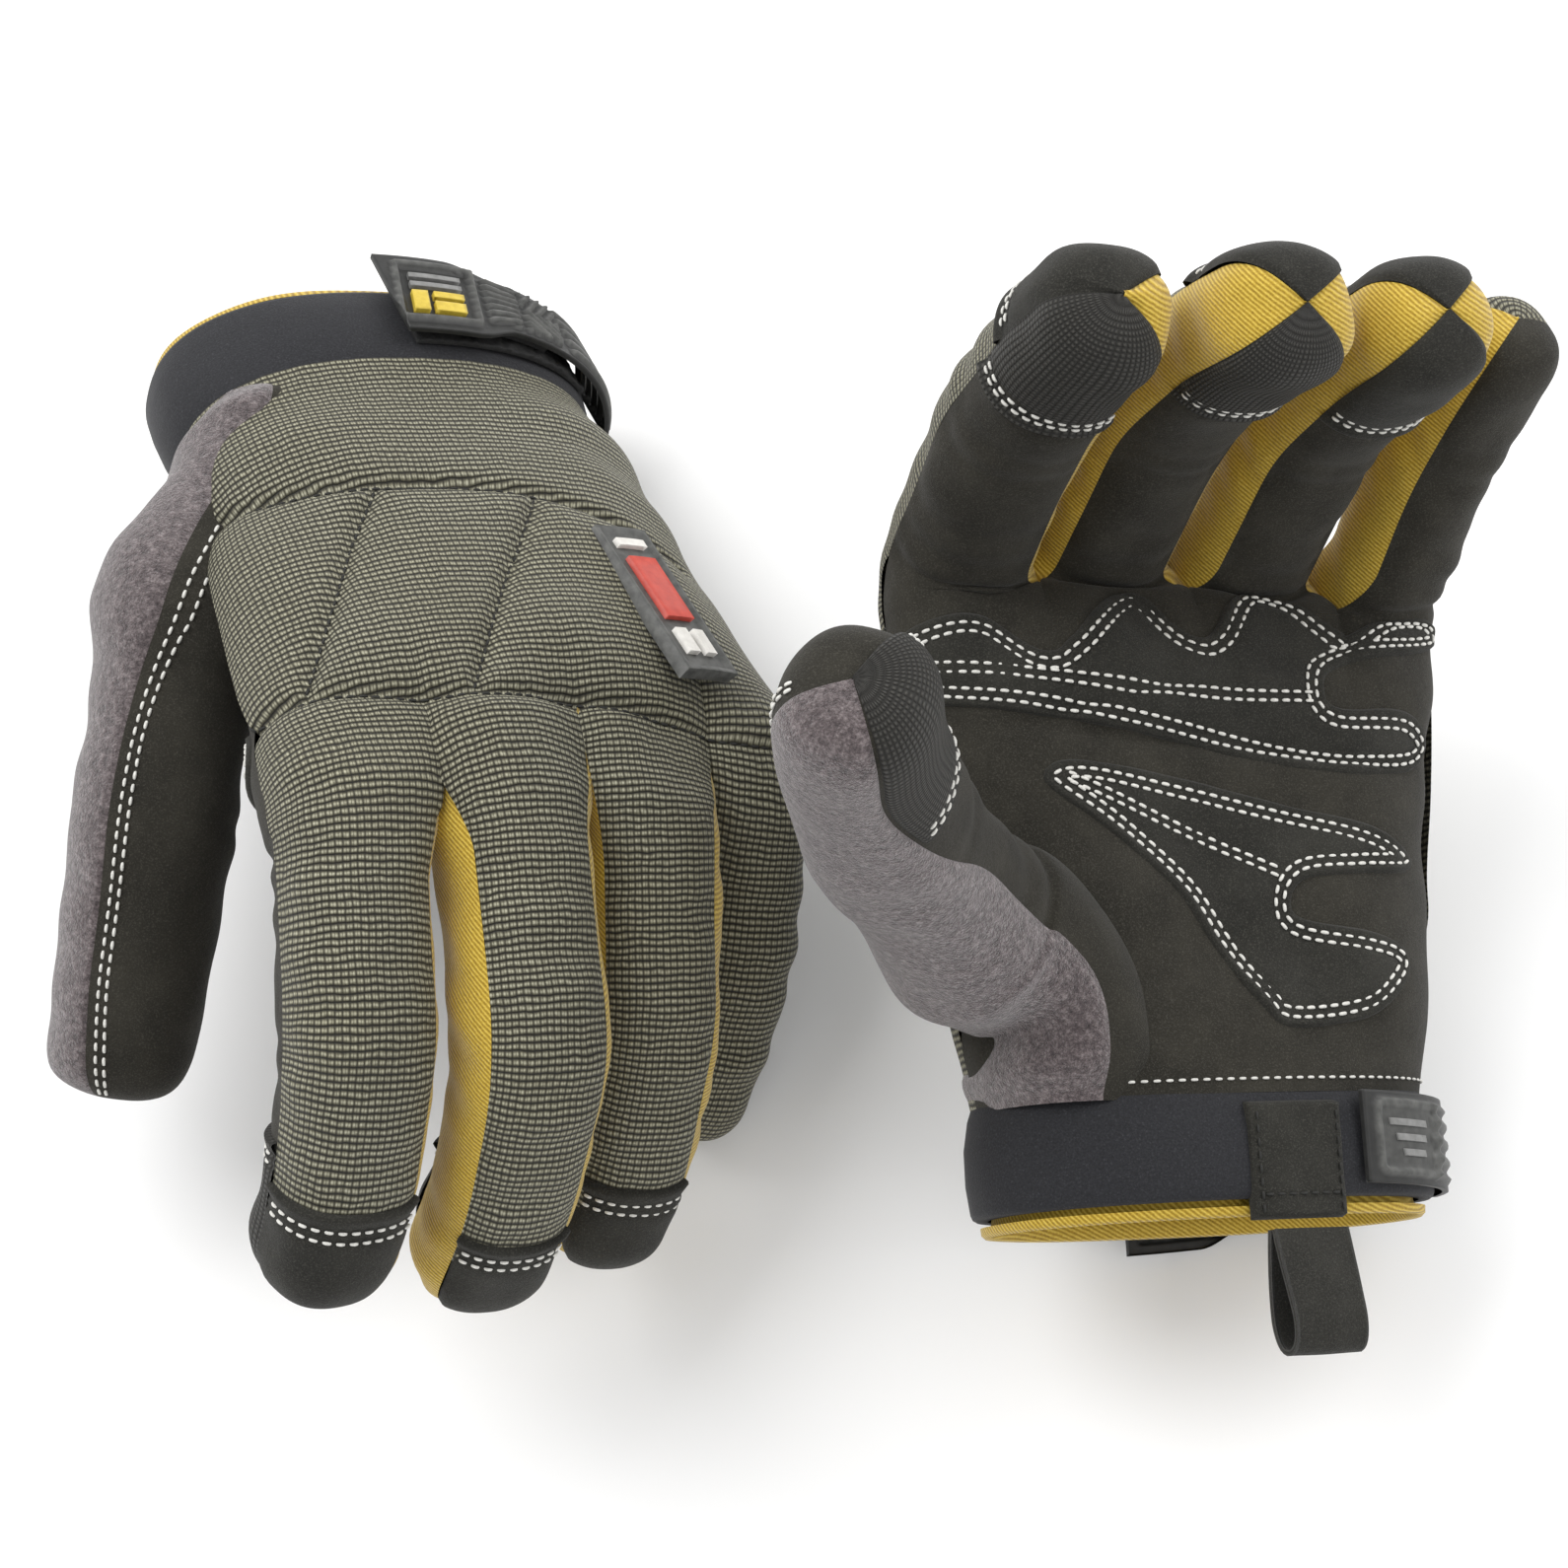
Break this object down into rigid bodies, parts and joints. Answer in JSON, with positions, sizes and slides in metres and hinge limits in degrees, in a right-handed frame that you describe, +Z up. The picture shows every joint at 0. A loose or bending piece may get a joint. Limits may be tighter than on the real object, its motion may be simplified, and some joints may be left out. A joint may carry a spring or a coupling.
{
  "type": "work gloves",
  "caption": "Insulated work gloves with a knit back, dark suede palm, yellow lining and finger sides, elastic cuff, moulded wrist strap and pull loop, resting on a table.",
  "frame": {"origin": "under the middle of the two resting gloves, on the table", "axes": "+X across the two gloves, from the back-up glove to the palm-up one; -Y is where the fingers of the back-up glove point; +Z up"},
  "size_m": [0.2639, 0.2129, 0.1507],
  "materials": {
    "knit": "matt",
    "suede": "matt",
    "suede_patch": "matt",
    "lining": "matt",
    "neoprene": "matt",
    "moulded": "satin",
    "hook": "matt",
    "fleece": "matt"
  },
  "bodies": {
    "glove_a_hand": {"a_back_panel": "knit", "a_palm_panel": "suede", "a_lining": "lining", "a_cuff": "neoprene", "a_loop_patch": "hook", "a_strap_anchor": "moulded", "a_back_badge": "moulded", "a_loop_tab": "suede_patch", "a_palm_pad_upper": "suede_patch", "a_palm_pad_lower": "suede_patch"},
    "glove_a_strap": {"a_strap": "moulded", "a_hook_pad": "hook"},
    "glove_a_pull_loop": {"a_pull_loop": "suede_patch"},
    "glove_a_index": {"a_index_stall": "knit", "a_index_cap": "suede_patch", "a_index_grip": "suede_patch", "a_index_gusset": "lining"},
    "glove_a_middle": {"a_middle_stall": "knit", "a_middle_cap": "suede_patch", "a_middle_grip": "suede_patch", "a_middle_gusset": "lining"},
    "glove_a_ring": {"a_ring_stall": "knit", "a_ring_cap": "suede_patch", "a_ring_grip": "suede_patch", "a_ring_gusset": "lining"},
    "glove_a_little": {"a_little_stall": "knit"},
    "glove_a_thumb": {"a_thumb_stall": "suede", "a_thumb_grip": "suede_patch", "a_thumb_fleece": "fleece"},
    "glove_b_hand": {"b_back_panel": "knit", "b_palm_panel": "suede", "b_lining": "lining", "b_cuff": "neoprene", "b_loop_patch": "hook", "b_strap_anchor": "moulded", "b_back_badge": "moulded", "b_loop_tab": "suede_patch", "b_palm_pad_upper": "suede_patch", "b_palm_pad_lower": "suede_patch"},
    "glove_b_strap": {"b_strap": "moulded", "b_hook_pad": "hook"},
    "glove_b_pull_loop": {"b_pull_loop": "suede_patch"},
    "glove_b_index": {"b_index_stall": "knit", "b_index_cap": "suede_patch", "b_index_grip": "suede_patch", "b_index_gusset": "lining"},
    "glove_b_middle": {"b_middle_stall": "knit", "b_middle_cap": "suede_patch", "b_middle_grip": "suede_patch", "b_middle_gusset": "lining"},
    "glove_b_ring": {"b_ring_stall": "knit", "b_ring_cap": "suede_patch", "b_ring_grip": "suede_patch", "b_ring_gusset": "lining"},
    "glove_b_little": {"b_little_stall": "knit"},
    "glove_b_thumb": {"b_thumb_stall": "suede", "b_thumb_grip": "suede_patch", "b_thumb_fleece": "fleece"}
  },
  "joints": [
    {"name": "glove_a_index_curl", "type": "hinge", "parent": "glove_a_hand", "child": "glove_a_index", "pos_m": [-0.07476, -0.02362, 0.08592], "axis": [0.8836, 0.1465, -0.4447], "range_deg": [-40, 14]},
    {"name": "glove_a_middle_curl", "type": "hinge", "parent": "glove_a_hand", "child": "glove_a_middle", "pos_m": [-0.0489, -0.01817, 0.0759], "axis": [0.8717, 0.1769, -0.4569], "range_deg": [-40, 14]},
    {"name": "glove_a_ring_curl", "type": "hinge", "parent": "glove_a_hand", "child": "glove_a_ring", "pos_m": [-0.02672, -0.01072, 0.06019], "axis": [0.8717, 0.1769, -0.4569], "range_deg": [-38, 14]},
    {"name": "glove_a_little_curl", "type": "hinge", "parent": "glove_a_hand", "child": "glove_a_little", "pos_m": [-0.00823, -0.00197, 0.04162], "axis": [0.84, 0.1828, -0.5109], "range_deg": [-32, 3]},
    {"name": "glove_a_thumb_curl", "type": "hinge", "parent": "glove_a_hand", "child": "glove_a_thumb", "pos_m": [-0.10998, 0.02865, 0.05768], "axis": [0.9701, -0.0672, -0.2332], "range_deg": [-16, 24]},
    {"name": "glove_a_strap_peel", "type": "hinge", "parent": "glove_a_hand", "child": "glove_a_strap", "pos_m": [-0.0426, 0.09089, 0.0151], "axis": [-0.4008, 0.8595, -0.3173], "range_deg": [0, 60]},
    {"name": "glove_a_pull_loop_swing", "type": "hinge", "parent": "glove_a_hand", "child": "glove_a_pull_loop", "pos_m": [-0.08932, 0.0812, 0.00752], "axis": [-0.8975, -0.2988, 0.3243], "range_deg": [-14, 0]},
    {"name": "glove_b_index_curl", "type": "hinge", "parent": "glove_b_hand", "child": "glove_b_index", "pos_m": [0.02895, 0.03534, 0.06621], "axis": [0.9462, 0.1152, -0.3024], "range_deg": [-48, 10]},
    {"name": "glove_b_middle_curl", "type": "hinge", "parent": "glove_b_hand", "child": "glove_b_middle", "pos_m": [0.05439, 0.04095, 0.05524], "axis": [0.948, 0.0808, -0.3079], "range_deg": [-48, 10]},
    {"name": "glove_b_ring_curl", "type": "hinge", "parent": "glove_b_hand", "child": "glove_b_ring", "pos_m": [0.08168, 0.04097, 0.04818], "axis": [0.9486, 0.0463, -0.313], "range_deg": [-46, 10]},
    {"name": "glove_b_little_curl", "type": "hinge", "parent": "glove_b_hand", "child": "glove_b_little", "pos_m": [0.10867, 0.03699, 0.04385], "axis": [0.9627, -0.0125, -0.2703], "range_deg": [-44, 12]},
    {"name": "glove_b_thumb_curl", "type": "hinge", "parent": "glove_b_hand", "child": "glove_b_thumb", "pos_m": [0.03121, -0.03367, 0.06743], "axis": [0.2722, 0.9599, -0.0677], "range_deg": [-30, 12]},
    {"name": "glove_b_strap_peel", "type": "hinge", "parent": "glove_b_hand", "child": "glove_b_strap", "pos_m": [0.11469, -0.06199, 0.01787], "axis": [0.0517, -0.9863, -0.1564], "range_deg": [0, 60]},
    {"name": "glove_b_pull_loop_swing", "type": "hinge", "parent": "glove_b_hand", "child": "glove_b_pull_loop", "pos_m": [0.08738, -0.08188, 0.05241], "axis": [-0.8695, -0.1215, 0.4788], "range_deg": [-30, 50]},
    {"name": "glove_b_lift", "type": "slide", "parent": "glove_a_hand", "child": "glove_b_hand", "axis": [0, 0, 1], "range_m": [0, 0.15]}
  ]
}
